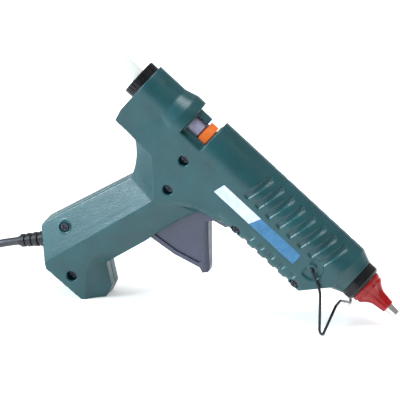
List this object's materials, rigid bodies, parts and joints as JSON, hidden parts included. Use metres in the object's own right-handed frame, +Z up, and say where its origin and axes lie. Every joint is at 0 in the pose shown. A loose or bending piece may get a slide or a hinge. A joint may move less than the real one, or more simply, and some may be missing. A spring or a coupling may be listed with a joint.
{
  "type": "glue gun",
  "caption": "Hot-melt glue gun with a pistol grip, trigger-driven stick feed, heated chamber with a sleeved nozzle, folding wire stand and a mains cord coiled beside it.",
  "frame": {"origin": "centre of the flat facet under the handle's toe, on the bench", "axes": "+X along the bench towards the nozzle, +Z up, +Y to the gun's left; the gun rests nose down on its wire stand"},
  "size_m": [0.4288, 0.0989, 0.1889],
  "materials": {
    "housing_green": "fine spark grain, semi-gloss",
    "black_plastic": "fine grain",
    "trigger_grey": "satin",
    "silicone_red": "glossy",
    "silicone_orange": "satin",
    "carriage_grey": "satin",
    "steel": "bright",
    "nickel": "bright turned",
    "aluminium": "as cast",
    "wire_black": "thin black coat",
    "glue_clear": "translucent hot-melt",
    "label_white": "printed film",
    "label_blue": "printed film",
    "cord_black": "satin",
    "ivory_plastic": "plain",
    "ceramic": "fired ceramic",
    "polyimide": "amber film",
    "brass": "plain",
    "live_brown": "satin",
    "neutral_blue": "satin"
  },
  "bodies": {
    "housing": {"housing_right": "housing_green", "housing_left": "housing_green", "housing_screws": "steel", "label_white": "label_white", "label_blue": "label_blue", "rear_inlet_cap": "black_plastic", "inlet_sleeve": "silicone_orange", "inlet_clamp": "steel", "melting_chamber": "aluminium", "chamber_supports": "ivory_plastic", "heater_electrodes": "aluminium", "ptc_heater": "ceramic", "heater_insulator": "polyimide", "heater_clamp": "steel", "front_collar": "black_plastic", "nozzle": "nickel", "nozzle_sleeve": "silicone_red", "trigger_pivot_pin": "steel", "return_spring": "steel", "strain_relief": "cord_black", "cord_lead_in": "cord_black", "cord_clamp": "ivory_plastic", "cord_clamp_screws": "steel", "terminal_block": "ivory_plastic", "terminal_screws": "brass", "live_wire": "live_brown", "neutral_wire": "neutral_blue", "mains_cord": "cord_black", "cord_tail": "cord_black", "cord_coil": "cord_black", "cord_tie": "black_plastic", "plug_body": "cord_black", "plug_pins": "nickel"},
    "trigger": {"trigger": "trigger_grey", "drive_pin": "steel"},
    "carriage": {"feed_carriage": "carriage_grey", "stick_gripper": "silicone_orange"},
    "glue_stick": {"glue_stick": "glue_clear"},
    "stand": {"wire_stand": "wire_black"}
  },
  "joints": [
    {"name": "trigger_pivot", "type": "hinge", "parent": "housing", "child": "trigger", "pos_m": [0.0787, 0, 0.09508], "axis": [0, 1, 0], "range_deg": [0, 20], "stiffness_Nm_per_rad": 0.12, "springref_deg": -20.05},
    {"name": "carriage_slide", "type": "slide", "parent": "housing", "child": "carriage", "axis": [0.7615, 0, -0.6481], "range_m": [0, 0.00695], "deforming": ["return_spring"]},
    {"name": "stick_feed", "type": "slide", "parent": "housing", "child": "glue_stick", "axis": [0.7615, 0, -0.6481], "range_m": [0, 0.00695]},
    {"name": "stand_pivot", "type": "hinge", "parent": "housing", "child": "stand", "pos_m": [0.1722, 0, 0.04571], "axis": [0, 1, 0], "range_deg": [0, 95]}
  ],
  "couplings": [
    {"joint": "carriage_slide", "follows": "trigger_pivot", "m_per_rad": 0.019899},
    {"joint": "stick_feed", "follows": "trigger_pivot", "m_per_rad": 0.019899}
  ]
}
